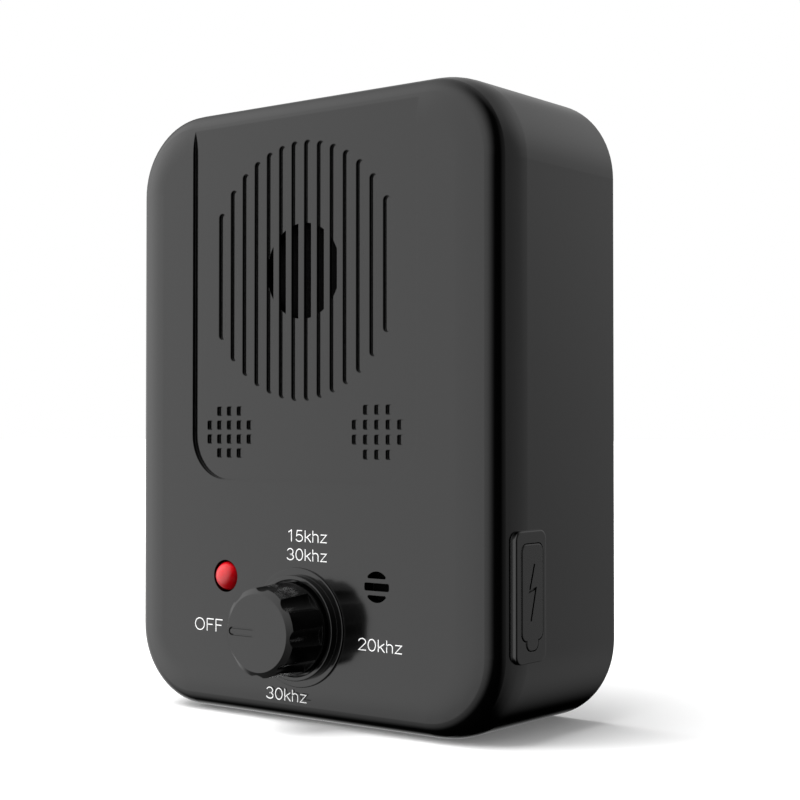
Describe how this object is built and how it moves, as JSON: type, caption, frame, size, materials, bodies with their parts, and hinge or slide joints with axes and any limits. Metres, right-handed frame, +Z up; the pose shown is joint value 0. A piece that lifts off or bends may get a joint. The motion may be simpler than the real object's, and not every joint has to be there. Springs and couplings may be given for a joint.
{
  "type": "ultrasonic pest repeller",
  "caption": "Box-shaped ultrasonic animal deterrent with a recessed slotted sound panel, frequency knob, indicator, microphone vent, rubber-covered charging port and a wall-hanging keyhole.",
  "frame": {"origin": "centre of the housing's bottom face", "axes": "+Z up along the housing's height, front (grille and knob) towards -Y, +X to the right of someone facing the front, where the charging port is"},
  "size_m": [0.0806, 0.0445, 0.1054],
  "materials": {
    "shell_plastic": "black moulded ABS, fine satin texture",
    "knob_plastic": "black moulded ABS, satin",
    "flap_rubber": "soft matt black TPE",
    "seal_rubber": "matt black silicone",
    "screw_steel": "zinc plated steel",
    "sounder_aluminium": "plain drawn aluminium",
    "black_cloth": "thin black acoustic cloth",
    "piezo_ceramic": "fired ceramic with silvered faces",
    "phenolic": "dark moulded resin",
    "tinned_wire": "tinned leads",
    "board_laminate": "green solder mask",
    "chip_epoxy": "black moulded epoxy",
    "chip_ceramic": "small ceramic parts",
    "capacitor_sleeve": "shrink sleeve",
    "ferrite": "dark grey ferrite",
    "coil_copper": "lacquered copper wire",
    "led_epoxy": "red diffused epoxy",
    "capsule_metal": "aluminium capsule",
    "nickel": "nickel plated brass",
    "socket_plastic": "black nylon",
    "cell_foil": "laminated foil pouch",
    "foam_tape": "double-sided foam",
    "connector_nylon": "white nylon",
    "wire_insulation": "PVC covered wire"
  },
  "bodies": {
    "housing": {"front_shell": "shell_plastic", "rear_cover": "shell_plastic", "flap_anchor": "flap_rubber", "housing_gasket": "seal_rubber", "sounder_ring": "seal_rubber", "microphone_boot": "seal_rubber", "rear_screws": "screw_steel", "board_screws": "screw_steel", "sounder_case": "sounder_aluminium", "sounder_mesh": "sounder_aluminium", "sounder_cone": "sounder_aluminium", "dust_cloth": "black_cloth", "piezo_disc": "piezo_ceramic", "sounder_base": "phenolic", "switch_body": "phenolic", "sounder_pins": "tinned_wire", "led_leads": "tinned_wire", "microphone_pins": "tinned_wire", "switch_pins": "tinned_wire", "main_board": "board_laminate", "battery_board": "board_laminate", "control_chip": "chip_epoxy", "charge_chip": "chip_epoxy", "drive_transistors": "chip_epoxy", "chip_parts": "chip_ceramic", "capacitors": "capacitor_sleeve", "transformer_core": "ferrite", "transformer_coil": "coil_copper", "led_lens": "led_epoxy", "microphone_capsule": "capsule_metal", "switch_bushing": "nickel", "switch_washer": "nickel", "switch_nut": "nickel", "usb_socket_shell": "nickel", "usb_socket_tongue": "socket_plastic", "battery_cell": "cell_foil", "battery_tape": "foam_tape", "battery_header": "connector_nylon", "battery_plug": "connector_nylon", "sounder_header": "connector_nylon", "battery_leads": "wire_insulation", "sounder_leads": "wire_insulation"},
    "knob": {"control_knob": "knob_plastic", "switch_shaft": "nickel"},
    "flap": {"port_flap": "flap_rubber"}
  },
  "joints": [
    {"name": "knob_turn", "type": "hinge", "parent": "housing", "child": "knob", "pos_m": [0, -0.0223, 0.01635], "axis": [0, 1, 0], "range_deg": [0, 270]},
    {"name": "flap_open", "type": "hinge", "parent": "housing", "child": "flap", "pos_m": [0.0405, -0.0087, 0.0312], "axis": [0, -1, 0], "range_deg": [0, 110]}
  ]
}
